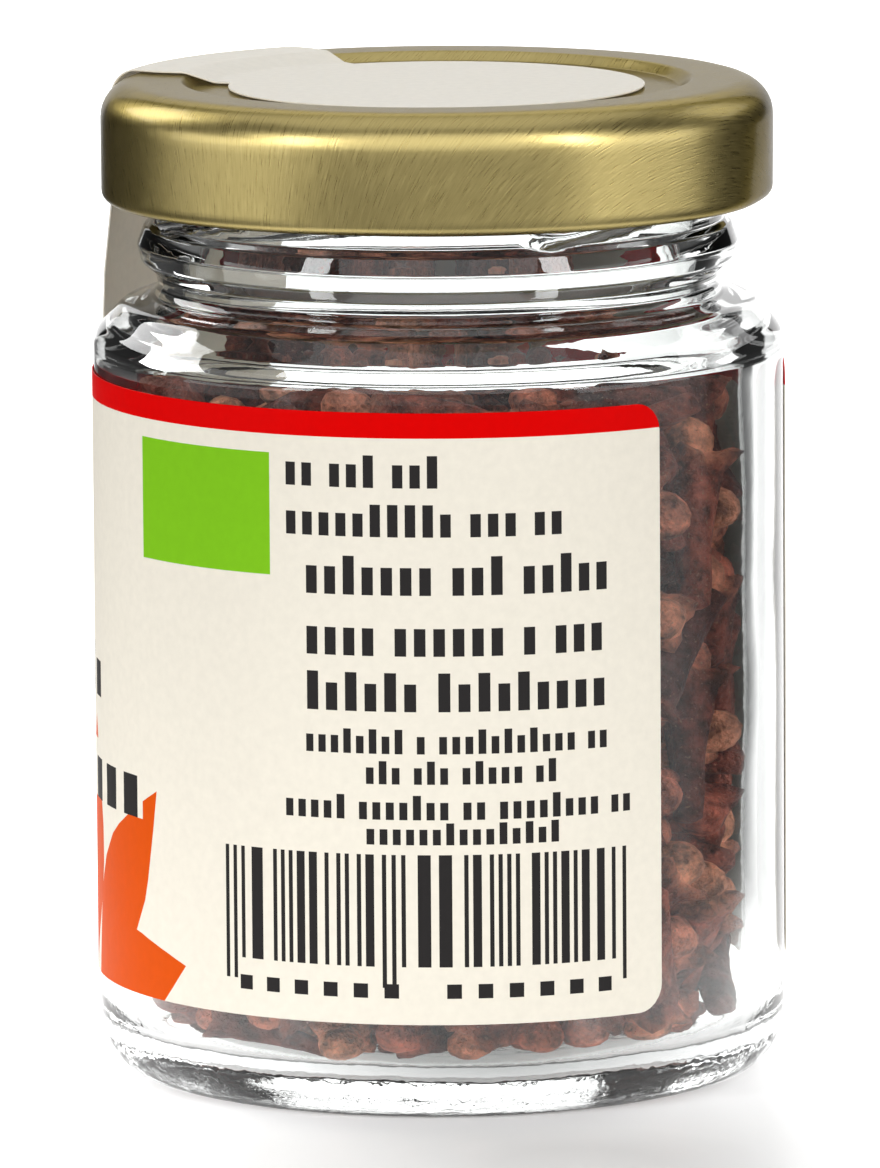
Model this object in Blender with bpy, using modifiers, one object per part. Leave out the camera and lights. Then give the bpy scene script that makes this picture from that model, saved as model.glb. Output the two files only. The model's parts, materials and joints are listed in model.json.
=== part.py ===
"""A small round spice jar of clear glass, filled with whole cloves and shut with a gold twist-off lid.

A paper label wraps round the body and leaves a window at the front right. A paper seal with a round
head is stuck on the lid, and its tail runs over the lid's edge and down onto the jar.

Metres, +Z up. The origin lies on the table under the jar's axis, and the viewer stands at -Y.
Angles are degrees counterclockwise from +X as seen from above, so the front is at 270.
"""

import math
import random

import bmesh
import bpy
from mathutils import Euler, Matrix, Vector

MM = 0.001
FRONT = 270.0

# Driving dimensions of the glass. The body measures 52.8 mm across and the shut jar 76 mm high.
BODY_RADIUS = 26.4 * MM
WALL = 3.0 * MM
SHOULDER_START = 54.3 * MM
NECK_BASE = 60.2 * MM
NECK_RADIUS = 21.4 * MM
FINISH_RADIUS = 21.9 * MM
FINISH_TOP = 75.2 * MM
BORE_RADIUS = 19.2 * MM
INNER_SHOULDER = ((23.1 * MM, 55.4 * MM), (22.4 * MM, 56.4 * MM), (19.9 * MM, 58.6 * MM))
INNER_SHOULDER_ENDS = (54.3 * MM, 60.0 * MM)
FLOOR_HEIGHT = 2.6 * MM
FLOOR_RISE = 0.8 * MM
FLOOR_EDGE = 3.0 * MM
PUSH_UP = 1.4 * MM
FOOT_INNER = 19.8 * MM
FOOT_OUTER = 23.4 * MM
HEEL_HEIGHT = 4.8 * MM
BEAD_RADIUS = 22.95 * MM
BEAD_HEIGHT = 64.0 * MM
BEAD_HALF = 1.7 * MM
TURN_STEPS = 40

# Four thread ridges that rise to the right, one for each lug of the lid.
THREAD_COUNT = 4
THREAD_START = FRONT + 17.0
THREAD_SPAN = 76.0
THREAD_FOOT = 66.1 * MM
THREAD_RISE = 0.068 * MM
THREAD_DEPTH = 1.0 * MM
THREAD_BURIED = 0.45 * MM

# The lid is drawn from tinplate, with a rolled edge and four lugs that hook under the ridges.
LID_RADIUS = 25.7 * MM
LID_BOTTOM = 67.0 * MM
LID_CREST = 76.1 * MM
LID_PANEL = 75.4 * MM
LID_STEP_INNER = 18.6 * MM
LID_STEP_OUTER = 19.5 * MM
LID_SHOULDER = 2.4 * MM
LID_SHEET = 0.4 * MM
CURL_RADIUS = 0.85 * MM
LUG_OFFSET = 54.0
LUG_LENGTH = 7.0 * MM
LUG_REACH = 22.5 * MM

# The papers lie a hair clear of what they are stuck to.
PAPER = 0.16 * MM
PAPER_GAP = 0.15 * MM
LABEL_BOTTOM = 7.6 * MM
LABEL_TOP = 53.95 * MM
LABEL_SLANT = -0.002
LABEL_FROM = FRONT + 90.0
LABEL_TO = FRONT + 38.5 + 360.0
LABEL_CORNER = 2.2 * MM
SEAL_HEAD_RADIUS = 15.9 * MM
SEAL_DIRECTION = 143.0
SEAL_ROOT_WIDTH = 15.6 * MM
SEAL_TAIL_WIDTH = 19.6 * MM
SEAL_END = 45.5 * MM

# Whole cloves, 14 mm long, heaped up to the shoulder.
CLOVE_LENGTH = 14.2 * MM
CLOVE_GAP = 0.3 * MM
CORE_INSET = 2.6 * MM
HEAP_TOP = 55.5 * MM
WALL_ROWS = 7
CLOVES_A_ROW = 11
TOP_CLOVES = 12
HEAP_SEED = 7


def clear_scene():
    for obj in list(bpy.data.objects):
        bpy.data.objects.remove(obj, do_unlink=True)


def new_collection(name):
    collection = bpy.data.collections.new(name)
    bpy.context.scene.collection.children.link(collection)
    return collection


def material(name, colour, roughness, metallic=0.0, transmission=0.0):
    """A plain material whose colour is given in linear red, green and blue."""
    made = bpy.data.materials.new(name)
    made.use_nodes = True
    shader = made.node_tree.nodes["Principled BSDF"]
    shader.inputs["Base Color"].default_value = (*colour, 1.0)
    shader.inputs["Roughness"].default_value = roughness
    shader.inputs["Metallic"].default_value = metallic
    shader.inputs["Transmission Weight"].default_value = transmission
    return made


def place(name, mesh, collection, surface):
    obj = bpy.data.objects.new(name, mesh)
    obj.data.materials.append(surface)
    collection.objects.link(obj)
    return obj


def arc(centre, radii, start, end, count):
    """Points (r, z) along an ellipse's arc, from one angle to another in degrees, both ends included."""
    points = []
    for i in range(count + 1):
        turn = math.radians(start + (end - start) * i / count)
        points.append((centre[0] + radii[0] * math.cos(turn), centre[1] + radii[1] * math.sin(turn)))
    return points


def turned(name, profile, collection, surface):
    """Turns an (r, z) profile round the Z axis. It runs outwards on top, then down its outer side."""
    mesh = bpy.data.meshes.new(name)
    edges = [(i, i + 1) for i in range(len(profile) - 1)]
    mesh.from_pydata([(r, 0.0, z) for r, z in profile], edges, [])
    obj = place(name, mesh, collection, surface)
    screw = obj.modifiers.new("turn", "SCREW")
    screw.axis = "Z"
    screw.angle = math.tau
    screw.steps = TURN_STEPS
    screw.render_steps = TURN_STEPS
    screw.use_merge_vertices = True
    screw.merge_threshold = 0.00001
    return obj


def as_mesh(obj, collection):
    """Replaces a curve by the closed mesh that it evaluates to."""
    graph = bpy.context.evaluated_depsgraph_get()
    mesh = bpy.data.meshes.new_from_object(obj.evaluated_get(graph))
    welded = bmesh.new()
    welded.from_mesh(mesh)
    bmesh.ops.remove_doubles(welded, verts=welded.verts, dist=0.000005)
    bmesh.ops.recalc_face_normals(welded, faces=welded.faces)
    welded.to_mesh(mesh)
    welded.free()
    made = bpy.data.objects.new(obj.name + "_mesh", mesh)
    made.matrix_world = obj.matrix_world
    collection.objects.link(made)
    bpy.data.objects.remove(obj, do_unlink=True)
    return made


def as_helper(obj):
    obj.hide_render = True
    obj.display_type = "WIRE"


def polar(radius, angle, height):
    turn = math.radians(angle)
    return Vector((radius * math.cos(turn), radius * math.sin(turn), height))


# The jar: outer wall, inner wall, foot and the finish with its transfer bead.


def inner_wall():
    """Points (r, z) of the cavity's wall above the rounded floor edge, from the bottom up."""
    wall = BODY_RADIUS - WALL
    start, end = INNER_SHOULDER_ENDS
    return [(wall, FLOOR_HEIGHT + FLOOR_EDGE), (wall, start), *INNER_SHOULDER, (BORE_RADIUS, end)]


def inner_radius(height):
    """Radius of the cavity at a height: rounded floor edge, straight wall, sloping shoulder and bore."""
    if height < FLOOR_HEIGHT + FLOOR_EDGE:
        share = max(0.0, (height - FLOOR_HEIGHT) / FLOOR_EDGE)
        return BODY_RADIUS - WALL - FLOOR_EDGE * (1.0 - math.sqrt(1.0 - (1.0 - share) ** 2))
    points = inner_wall()
    for (r0, z0), (r1, z1) in zip(points, points[1:]):
        if height < z1:
            return r0 + (r1 - r0) * (height - z0) / (z1 - z0)
    return BORE_RADIUS


def jar_profile():
    wall = BODY_RADIUS - WALL
    lip = (FINISH_RADIUS - BORE_RADIUS) / 2
    bead_core = NECK_RADIUS + 0.2 * MM
    shoulder_core = NECK_RADIUS + 0.6 * MM
    inside = [(0.0, FLOOR_HEIGHT + FLOOR_RISE)]
    inside += arc((wall - FLOOR_EDGE, FLOOR_HEIGHT + FLOOR_EDGE), (FLOOR_EDGE, FLOOR_EDGE), 270, 360, 3)
    inside += inner_wall()[1:]
    rim = arc((BORE_RADIUS + lip, FINISH_TOP - lip), (lip, lip), 180, 0, 4)
    bead = [(FINISH_RADIUS, BEAD_HEIGHT + BEAD_HALF)]
    bead += arc((bead_core, BEAD_HEIGHT), (BEAD_RADIUS - bead_core, BEAD_HALF - 0.2 * MM), 60, -60, 3)
    bead.append((NECK_RADIUS, BEAD_HEIGHT - BEAD_HALF))
    neck = [(NECK_RADIUS, NECK_BASE + 0.5 * MM)]
    drop = NECK_BASE - 0.3 * MM - SHOULDER_START
    shoulder = arc((shoulder_core, SHOULDER_START), (BODY_RADIUS - shoulder_core, drop), 90, 0, 5)
    heel = arc((FOOT_OUTER, HEEL_HEIGHT), (BODY_RADIUS - FOOT_OUTER, HEEL_HEIGHT), 0, -90, 4)
    foot = [(FOOT_INNER, 0.0), (FOOT_INNER - 1.6 * MM, PUSH_UP * 0.7), (0.0, PUSH_UP)]
    return inside + rim + bead + neck + shoulder + heel + foot


def thread_ridge(index, collection):
    """One ridge of the finish: a low bead on a rising curve, which thins out at both ends."""
    steps = 9
    data = bpy.data.curves.new(f"thread_{index}", "CURVE")
    data.dimensions = "3D"
    data.bevel_depth = THREAD_DEPTH
    data.bevel_resolution = 1
    data.use_fill_caps = True
    spline = data.splines.new("POLY")
    spline.points.add(steps)
    for i, point in enumerate(spline.points):
        share = i / steps
        angle = THREAD_START + index * 360.0 / THREAD_COUNT + THREAD_SPAN * share
        height = THREAD_FOOT + THREAD_RISE * THREAD_SPAN * share
        point.co = (*polar(FINISH_RADIUS + THREAD_BURIED, angle, height), 1.0)
        point.radius = 0.55 + 0.45 * min(1.0, 6.0 * share, 6.0 * (1.0 - share))
    ridge = bpy.data.objects.new(f"thread_{index}", data)
    collection.objects.link(ridge)
    bpy.context.view_layer.update()
    return as_mesh(ridge, collection)


def make_jar(parts, helpers, surface):
    jar = turned("jar_glass", jar_profile(), parts, surface)
    ridges = bpy.data.collections.new("thread_ridges")
    helpers.children.link(ridges)
    for index in range(THREAD_COUNT):
        as_helper(thread_ridge(index, ridges))
    union = jar.modifiers.new("threads", "BOOLEAN")
    union.operation = "UNION"
    union.operand_type = "COLLECTION"
    union.collection = ridges
    union.solver = "EXACT"
    return jar


# The lid: a drawn cap with a raised ring, a rounded shoulder, a straight skirt and a rolled edge.


def lid_profile():
    centre = (LID_RADIUS - LID_SHOULDER, LID_CREST - LID_SHOULDER)
    inner = LID_SHOULDER - LID_SHEET
    outside = [(0.0, LID_PANEL), (LID_STEP_INNER, LID_PANEL), (LID_STEP_OUTER, LID_CREST)]
    outside += arc(centre, (LID_SHOULDER, LID_SHOULDER), 90, 0, 4)
    curl = arc((LID_RADIUS - CURL_RADIUS, LID_BOTTOM + CURL_RADIUS), (CURL_RADIUS, CURL_RADIUS), 0, -225, 6)
    inside = [(LID_RADIUS - LID_SHEET, LID_BOTTOM + 2.0 * CURL_RADIUS + LID_SHEET)]
    inside += arc(centre, (inner, inner), 0, 90, 3)
    inside += [
        (LID_STEP_OUTER, LID_CREST - LID_SHEET),
        (LID_STEP_INNER, LID_PANEL - LID_SHEET),
        (0.0, LID_PANEL - LID_SHEET),
    ]
    return outside + curl + inside


def make_lid(parts, helpers, surface):
    lid = turned("lid", lid_profile(), parts, surface)
    lugs = bpy.data.collections.new("lid_lugs")
    helpers.children.link(lugs)
    outer = LID_RADIUS - CURL_RADIUS
    for index in range(THREAD_COUNT):
        mesh = bpy.data.meshes.new(f"lug_{index}")
        built = bmesh.new()
        bmesh.ops.create_cube(built, size=1.0)
        bmesh.ops.scale(built, vec=(outer - LUG_REACH, LUG_LENGTH, CURL_RADIUS), verts=built.verts)
        inner_corners = [vert for vert in built.verts if vert.co.x < 0]
        bmesh.ops.scale(built, vec=(1.0, 0.6, 0.8), verts=inner_corners)
        built.to_mesh(mesh)
        built.free()
        lug = bpy.data.objects.new(f"lug_{index}", mesh)
        angle = THREAD_START + LUG_OFFSET + index * 360.0 / THREAD_COUNT
        lug.location = polar((outer + LUG_REACH) / 2, angle, LID_BOTTOM + 0.9 * CURL_RADIUS)
        lug.rotation_euler = (0.0, 0.0, math.radians(angle))
        lugs.objects.link(lug)
        as_helper(lug)
    union = lid.modifiers.new("lugs", "BOOLEAN")
    union.operation = "UNION"
    union.operand_type = "COLLECTION"
    union.collection = lugs
    union.solver = "EXACT"
    return lid


# The papers: the body label and the seal.


def paper_thickness(obj):
    solid = obj.modifiers.new("paper", "SOLIDIFY")
    solid.thickness = PAPER
    solid.offset = 1.0


def make_label(parts, surface):
    """A sheet wrapped round the body, stuck on a little askew. Its four corners are rounded."""
    columns = 50
    corner_columns = 4
    radius = BODY_RADIUS + PAPER_GAP
    length = math.radians(LABEL_TO - LABEL_FROM) * radius
    front = math.radians(FRONT + 360.0 - LABEL_FROM) * radius
    sheet = bmesh.new()
    columns_of_verts = []
    for column in range(columns + 1):
        from_end = min(column, columns - column)
        share = min(1.0, from_end / corner_columns) * math.pi / 2
        cut = LABEL_CORNER * (1.0 - math.sin(share))
        along = LABEL_CORNER * (1.0 - math.cos(share))
        if from_end > corner_columns:
            middle = (from_end - corner_columns) / (columns / 2 - corner_columns)
            along += (length / 2 - LABEL_CORNER) * middle
        distance = along if column <= columns / 2 else length - along
        angle = LABEL_FROM + math.degrees(distance / radius)
        rise = LABEL_SLANT * (distance - front)
        heights = (LABEL_BOTTOM + cut + rise, LABEL_TOP - cut + rise)
        columns_of_verts.append([sheet.verts.new(polar(radius, angle, height)) for height in heights])
    for left, right in zip(columns_of_verts, columns_of_verts[1:]):
        sheet.faces.new((left[0], right[0], right[1], left[1]))
    mesh = bpy.data.meshes.new("label")
    sheet.to_mesh(mesh)
    sheet.free()
    label = place("label", mesh, parts, surface)
    paper_thickness(label)
    return label


def seal_route():
    """Stations (r, z) of the seal's tail, from the head's edge over the lid to the end glued on the jar."""
    lift = PAPER_GAP
    over_label = BODY_RADIUS + 2.0 * PAPER_GAP + PAPER
    centre = (LID_RADIUS - LID_SHOULDER, LID_CREST - LID_SHOULDER)
    route = [(SEAL_HEAD_RADIUS, LID_PANEL + lift), (SEAL_HEAD_RADIUS + 1.0 * MM, LID_PANEL + lift)]
    route += [(LID_STEP_OUTER - 0.1 * MM, LID_CREST + lift), (LID_STEP_OUTER + 1.8 * MM, LID_CREST + lift)]
    route += arc(centre, (LID_SHOULDER + lift, LID_SHOULDER + lift), 90, 0, 4)
    route += [(LID_RADIUS + lift, LID_BOTTOM + CURL_RADIUS), (LID_RADIUS + 1.5 * lift, LID_BOTTOM - 1.0 * MM)]
    route += [(26.6 * MM, 60.5 * MM), (over_label, 56.5 * MM), (over_label, SEAL_END)]
    return route


def make_seal(parts, surface):
    """A round head and a tail that widens slightly, bends over the lid's edge and follows the jar."""
    across = 6
    widening = 4
    rim_steps = 30
    turn = math.radians(SEAL_DIRECTION)
    outward = Vector((math.cos(turn), math.sin(turn), 0.0))
    sideways = Vector((-math.sin(turn), math.cos(turn), 0.0))
    sheet = bmesh.new()
    rows = []
    for station, (radius, height) in enumerate(seal_route()):
        share = min(1.0, station / widening)
        half = (SEAL_ROOT_WIDTH + (SEAL_TAIL_WIDTH - SEAL_ROOT_WIDTH) * share) / 2
        row = []
        for i in range(across + 1):
            offset = half * (2.0 * i / across - 1.0)
            point = outward * math.sqrt(radius**2 - offset**2) + sideways * offset
            row.append(sheet.verts.new((point.x, point.y, height)))
        rows.append(row)
    for lower, upper in zip(rows, rows[1:]):
        for i in range(across):
            sheet.faces.new((lower[i], upper[i], upper[i + 1], lower[i + 1]))
    half_root = math.degrees(math.asin(SEAL_ROOT_WIDTH / 2 / SEAL_HEAD_RADIUS))
    rim = []
    for i in range(1, rim_steps):
        angle = SEAL_DIRECTION + half_root + (360.0 - 2.0 * half_root) * i / rim_steps
        rim.append(sheet.verts.new(polar(SEAL_HEAD_RADIUS, angle, LID_PANEL + PAPER_GAP)))
    sheet.faces.new(rows[0] + rim)
    bmesh.ops.recalc_face_normals(sheet, faces=sheet.faces)
    mesh = bpy.data.meshes.new("seal")
    sheet.to_mesh(mesh)
    sheet.free()
    seal = place("seal", mesh, parts, surface)
    paper_thickness(seal)
    return seal


# The cloves: a core inside the cavity, with whole cloves lying on its wall and on its top.


def clove_mesh(name, with_bud):
    """One clove along +Z: a four-sided stalk, four spread and pointed sepals, and the round bud."""
    rings = [
        (0.0, [1.15] * 4, [0.0] * 4),
        (9.4, [2.15] * 4, [0.0] * 4),
        (10.6, [3.1, 1.8] * 4, [0.5, 0.0] * 4),
    ]
    if with_bud:
        rings.append((12.4, [1.95] * 8, [0.0] * 8))
    peak = 14.2 if with_bud else 10.3
    built = bmesh.new()
    loops = []
    for height, radii, lifts in rings:
        loop = []
        for i, (radius, lift) in enumerate(zip(radii, lifts)):
            at = polar(radius * MM, 360.0 * i / len(radii), (height + lift) * MM)
            loop.append(built.verts.new(at))
        loops.append(loop)
    built.faces.new(reversed(loops[0]))
    for lower, upper in zip(loops, loops[1:]):
        ratio = len(upper) // len(lower)
        for i, vert in enumerate(upper):
            after = upper[(i + 1) % len(upper)]
            here, there = lower[i // ratio], lower[((i + 1) // ratio) % len(lower)]
            corners = [here, there, after, vert] if here is not there else [here, after, vert]
            built.faces.new(corners)
    apex = built.verts.new((0.0, 0.0, peak * MM))
    for i, vert in enumerate(loops[-1]):
        built.faces.new((vert, loops[-1][(i + 1) % len(loops[-1])], apex))
    bmesh.ops.translate(built, vec=(0.0, 0.0, -CLOVE_LENGTH / 2), verts=built.verts)
    bmesh.ops.recalc_face_normals(built, faces=built.faces)
    bmesh.ops.triangulate(built, faces=built.faces)
    mesh = bpy.data.meshes.new(name)
    built.to_mesh(mesh)
    built.free()
    return mesh


def push_inside(points, away):
    """The shift along `away`, and up from the floor, with which all points of a clove clear the glass."""
    lift = max(0.0, FLOOR_HEIGHT + FLOOR_RISE + CLOVE_GAP - min(point.z for point in points))
    shift = Vector((0.0, 0.0, lift))
    for _ in range(40):
        excess = 0.0
        for point in points:
            moved = point + shift
            excess = max(excess, math.hypot(moved.x, moved.y) - inner_radius(moved.z) + CLOVE_GAP)
        if excess <= 0.0:
            break
        shift += away * (excess + 0.01 * MM)
    return shift


def drop_clove(name, mesh, collection, middle, turn, size, away):
    clove = bpy.data.objects.new(name, mesh)
    matrix = Matrix.Translation(middle) @ Euler(turn, "XYZ").to_matrix().to_4x4() @ Matrix.Scale(size, 4)
    ends = [(mesh.vertices[edge.vertices[0]].co, mesh.vertices[edge.vertices[1]].co) for edge in mesh.edges]
    points = [matrix @ start.lerp(end, share / 6.0) for start, end in ends for share in range(7)]
    clove.matrix_world = Matrix.Translation(push_inside(points, away)) @ matrix
    collection.objects.link(clove)


def lay_wall_cloves(draw, shapes, collection):
    """Rows of cloves against the glass, each tilted its own way in the wall's plane."""
    low = FLOOR_HEIGHT + 4.0 * MM
    step = (HEAP_TOP - 3.0 * MM - low) / (WALL_ROWS - 1)
    for row in range(WALL_ROWS):
        for slot in range(CLOVES_A_ROW):
            angle = 360.0 * (slot + 0.5 * (row % 2) + draw.uniform(-0.22, 0.22)) / CLOVES_A_ROW
            height = low + step * row + draw.uniform(-1.2, 1.2) * MM
            middle = polar(BODY_RADIUS - WALL - 2.0 * MM, angle, height)
            tilt = draw.choice((35, 60, 85, 110, 140, 215, 245, 270, 300, 330)) + draw.uniform(-14, 14)
            turn = (math.radians(tilt), math.radians(draw.uniform(-14, 14)), math.radians(angle))
            shape = shapes[0] if draw.random() < 0.8 else shapes[1]
            away = -polar(1.0, angle, 0.0)
            drop_clove(f"wall_{row}_{slot}", shape, collection, middle, turn, draw.uniform(0.88, 1.08), away)


def lay_top_cloves(draw, shapes, collection):
    """Cloves on the heap's top, spread evenly by the golden angle and lying nearly flat."""
    golden = 137.508
    for i in range(TOP_CLOVES):
        radius = 16.5 * MM * math.sqrt((i + 0.5) / TOP_CLOVES)
        angle = golden * i
        height = HEAP_TOP - 2.1 * MM + draw.uniform(-0.6, 0.8) * MM
        turn = (math.radians(90 + draw.uniform(-18, 18)), 0.0, math.radians(draw.uniform(0, 360)))
        shape = shapes[0] if draw.random() < 0.8 else shapes[1]
        middle = polar(radius, angle, height)
        away = -polar(1.0, angle, 0.0)
        drop_clove(f"top_{i}", shape, collection, middle, turn, draw.uniform(0.9, 1.05), away)


def core_profile():
    """The heap's core, a little smaller than the cavity all round."""
    bottom = FLOOR_HEIGHT + 1.2 * MM
    top = HEAP_TOP - 3.0 * MM
    wall = BODY_RADIUS - WALL - CORE_INSET
    down = [(0.0, top), (12.0 * MM, top), (wall - 3.4 * MM, top - 0.8 * MM), (wall, top - 4.5 * MM)]
    return down + [(wall, bottom + 2.5 * MM), (wall - 2.5 * MM, bottom), (0.0, bottom)]


def shells(built):
    """The separate closed surfaces of a mesh, as lists of faces."""
    left = set(built.faces)
    found = []
    while left:
        seed = left.pop()
        shell = [seed]
        reached = [seed]
        while reached:
            face = reached.pop()
            for edge in face.edges:
                for other in edge.link_faces:
                    if other in left:
                        left.discard(other)
                        shell.append(other)
                        reached.append(other)
        found.append(shell)
    return found


def keep_outer_shell(mesh):
    """Fills sealed hollows and drops loose scraps, which leaves the largest closed surface alone."""
    built = bmesh.new()
    built.from_mesh(mesh)
    ordered = sorted(shells(built), key=len, reverse=True)
    spare = [face for shell in ordered[1:] for face in shell]
    bmesh.ops.delete(built, geom=spare, context="FACES")
    loose = [vert for vert in built.verts if not vert.link_faces]
    bmesh.ops.delete(built, geom=loose, context="VERTS")
    built.to_mesh(mesh)
    built.free()


def make_cloves(parts, helpers, surface):
    draw = random.Random(HEAP_SEED)
    pile = bpy.data.collections.new("loose_cloves")
    helpers.children.link(pile)
    shapes = (clove_mesh("clove", True), clove_mesh("clove_open", False))
    lay_wall_cloves(draw, shapes, pile)
    lay_top_cloves(draw, shapes, pile)
    heap = turned("cloves_heap", core_profile(), parts, surface)
    union = heap.modifiers.new("cloves", "BOOLEAN")
    union.operation = "UNION"
    union.operand_type = "COLLECTION"
    union.collection = pile
    union.solver = "MANIFOLD"
    bpy.context.view_layer.update()
    graph = bpy.context.evaluated_depsgraph_get()
    fused = bpy.data.meshes.new_from_object(heap.evaluated_get(graph))
    heap.modifiers.clear()
    heap.data = fused
    for obj in list(pile.objects):
        bpy.data.objects.remove(obj, do_unlink=True)
    keep_outer_shell(fused)
    fused.materials.clear()
    fused.materials.append(surface)
    return heap


def main():
    clear_scene()
    parts = new_collection("spice_jar_of_cloves")
    helpers = new_collection("helpers")
    glass = material("clear_glass", (0.93, 0.95, 0.94), 0.02, transmission=1.0)
    tinplate = material("gold_lacquered_tinplate", (0.52, 0.42, 0.17), 0.3, metallic=1.0)
    label_paper = material("coated_label_paper", (0.82, 0.76, 0.62), 0.5)
    seal_paper = material("seal_paper", (0.78, 0.72, 0.62), 0.6)
    clove = material("dried_clove", (0.09, 0.035, 0.018), 0.8)
    make_jar(parts, helpers, glass)
    make_lid(parts, helpers, tinplate)
    make_label(parts, label_paper)
    make_seal(parts, seal_paper)
    make_cloves(parts, helpers, clove)
    for obj in parts.objects:
        if obj.name in ("jar_glass", "lid", "label", "seal"):
            obj.data.shade_smooth()


main()
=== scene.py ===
"""A small round glass jar of whole cloves, shut with a gold twist-off lid and sealed with paper.

The pieces follow in the order in which the jar is packed: glass, cloves, lid, body label, seal.
Metres, +Z up, the viewer at -Y. Angles run counterclockwise from +X, so the front is at 270 degrees.
The pieces are drawn in millimetres, which MM turns into metres, and the set is placed in metres.
"""

import json
import math

import bmesh
import bpy
import numpy as np
from mathutils import Euler, Matrix, Vector, noise

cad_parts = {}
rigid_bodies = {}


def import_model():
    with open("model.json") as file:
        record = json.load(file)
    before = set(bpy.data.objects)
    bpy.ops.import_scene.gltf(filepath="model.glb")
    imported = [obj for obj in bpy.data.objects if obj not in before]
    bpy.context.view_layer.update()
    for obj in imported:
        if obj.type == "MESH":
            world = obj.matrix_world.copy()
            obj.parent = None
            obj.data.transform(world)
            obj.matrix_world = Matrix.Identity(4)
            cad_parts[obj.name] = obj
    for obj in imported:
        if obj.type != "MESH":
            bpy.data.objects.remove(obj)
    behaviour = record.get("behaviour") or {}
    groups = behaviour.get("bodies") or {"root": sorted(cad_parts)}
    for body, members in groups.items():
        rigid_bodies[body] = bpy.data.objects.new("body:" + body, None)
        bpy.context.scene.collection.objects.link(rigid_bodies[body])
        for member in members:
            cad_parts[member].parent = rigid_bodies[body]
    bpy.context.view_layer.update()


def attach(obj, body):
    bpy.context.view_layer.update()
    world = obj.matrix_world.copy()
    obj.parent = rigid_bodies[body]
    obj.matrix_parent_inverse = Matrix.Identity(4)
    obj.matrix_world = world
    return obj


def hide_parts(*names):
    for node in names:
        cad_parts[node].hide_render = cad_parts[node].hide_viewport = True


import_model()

# The jar: clear flint glass, pressed and blown, 53 mm across its body, with a thick base, a rounded
# shoulder, a transfer bead round the neck and four slanted ridges on the mouth for the lid's lugs.

MM = 0.001
FRONT = 270.0
BODY = 26.4
BORE = 19.55
INNER_WALL = 23.4
FINISH = 21.9
MOUTH_TOP = 75.2
MOUTH_MIDDLE = 20.5
HEEL_RADIUS = 23.4
HEEL_HEIGHT = 4.8
GLASS_STEPS = 180
LUGS = 4
LUG_APART = 360.0 / LUGS
THREAD_START = FRONT + 22.5
THREAD_SPAN = 76.0
THREAD_RISE = 0.068
THREAD_FOOT = 66.3
THREAD_HEIGHT = 1.5
THREAD_HALF = 1.05
THREAD_RUN_IN = 4.0
WAVE = 0.10
FLOOR_WAVE = 0.12


def linear(code):
    """An sRGB hex colour as linear red, green, blue and alpha."""
    parts = [int(code[i : i + 2], 16) / 255 for i in (1, 3, 5)]
    return (*[c / 12.92 if c <= 0.04045 else ((c + 0.055) / 1.055) ** 2.4 for c in parts], 1.0)


def add(tree, kind, inputs=None, **settings):
    """Adds a node with its settings. An input takes a value or another node's output."""
    node = tree.nodes.new(kind)
    for name, value in settings.items():
        setattr(node, name, value)
    for name, value in (inputs or {}).items():
        if isinstance(value, bpy.types.NodeSocket):
            tree.links.new(value, node.inputs[name])
        else:
            node.inputs[name].default_value = value
    return node


def finish_material(name, inputs):
    """A material whose principled shader gets these values, and its tree for further nodes."""
    made = bpy.data.materials.new(name)
    made.use_nodes = True
    made.node_tree.nodes.clear()
    shader = add(made.node_tree, "ShaderNodeBsdfPrincipled", inputs)
    add(made.node_tree, "ShaderNodeOutputMaterial", {"Surface": shader.outputs[0]})
    return made, made.node_tree, shader


def arc(centre, radii, start, end, count):
    """Points (r, z) along an ellipse's arc between two angles in degrees."""
    turns = np.radians(np.linspace(start, end, count + 1))
    return [(centre[0] + radii[0] * math.cos(t), centre[1] + radii[1] * math.sin(t)) for t in turns]


def filleted(corners, steps=6):
    """A profile through corners (r, z, fillet radius), with each corner rounded."""
    points = []
    for i, (r, z, radius) in enumerate(corners):
        here = Vector((r, z))
        if radius == 0 or i in (0, len(corners) - 1):
            points.append((r, z))
            continue
        before = (Vector(corners[i - 1][:2]) - here).normalized()
        after = (Vector(corners[i + 1][:2]) - here).normalized()
        half = before.angle(after) / 2
        reach = radius / math.tan(half)
        centre = here + (before + after).normalized() * (radius / math.sin(half))
        first = here + before * reach - centre
        sweep = first.angle_signed(here + after * reach - centre)
        for step in range(steps + 1):
            turned_by = Matrix.Rotation(-sweep * step / steps, 2) @ first
            points.append(tuple(centre + turned_by))
    return points


def dense(profile, longest):
    """The same profile with no step longer than the given length."""
    points = [profile[0]]
    for (r0, z0), (r1, z1) in zip(profile, profile[1:]):
        parts = max(1, math.ceil(math.hypot(r1 - r0, z1 - z0) / longest))
        points += [(r0 + (r1 - r0) * k / parts, z0 + (z1 - z0) * k / parts) for k in range(1, parts + 1)]
    return points


def revolved(name, profile, steps, shape):
    """Turns a profile in millimetres round the axis. shape(angle, r, z, station) may move each point."""
    rings, verts, faces = [], [], []
    for station, (r, z) in enumerate(profile):
        if r < 1e-6:
            rings.append([len(verts)] * steps)
            verts.append((0.0, 0.0, z * MM))
            continue
        rings.append(list(range(len(verts), len(verts) + steps)))
        for k in range(steps):
            angle = 360.0 * k / steps
            moved_r, moved_z = shape(angle, r, z, station)
            turn = math.radians(angle)
            verts.append((moved_r * MM * math.cos(turn), moved_r * MM * math.sin(turn), moved_z * MM))
    for upper, lower in zip(rings, rings[1:]):
        for k in range(steps):
            loop = [upper[k], lower[k], lower[(k + 1) % steps], upper[(k + 1) % steps]]
            corners = list(dict.fromkeys(loop))
            if len(corners) > 2:
                faces.append(corners)
    mesh = bpy.data.meshes.new(name)
    mesh.from_pydata(verts, [], faces)
    mesh.shade_smooth()
    made = bpy.data.objects.new(name, mesh)
    bpy.context.scene.collection.objects.link(made)
    return made


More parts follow.
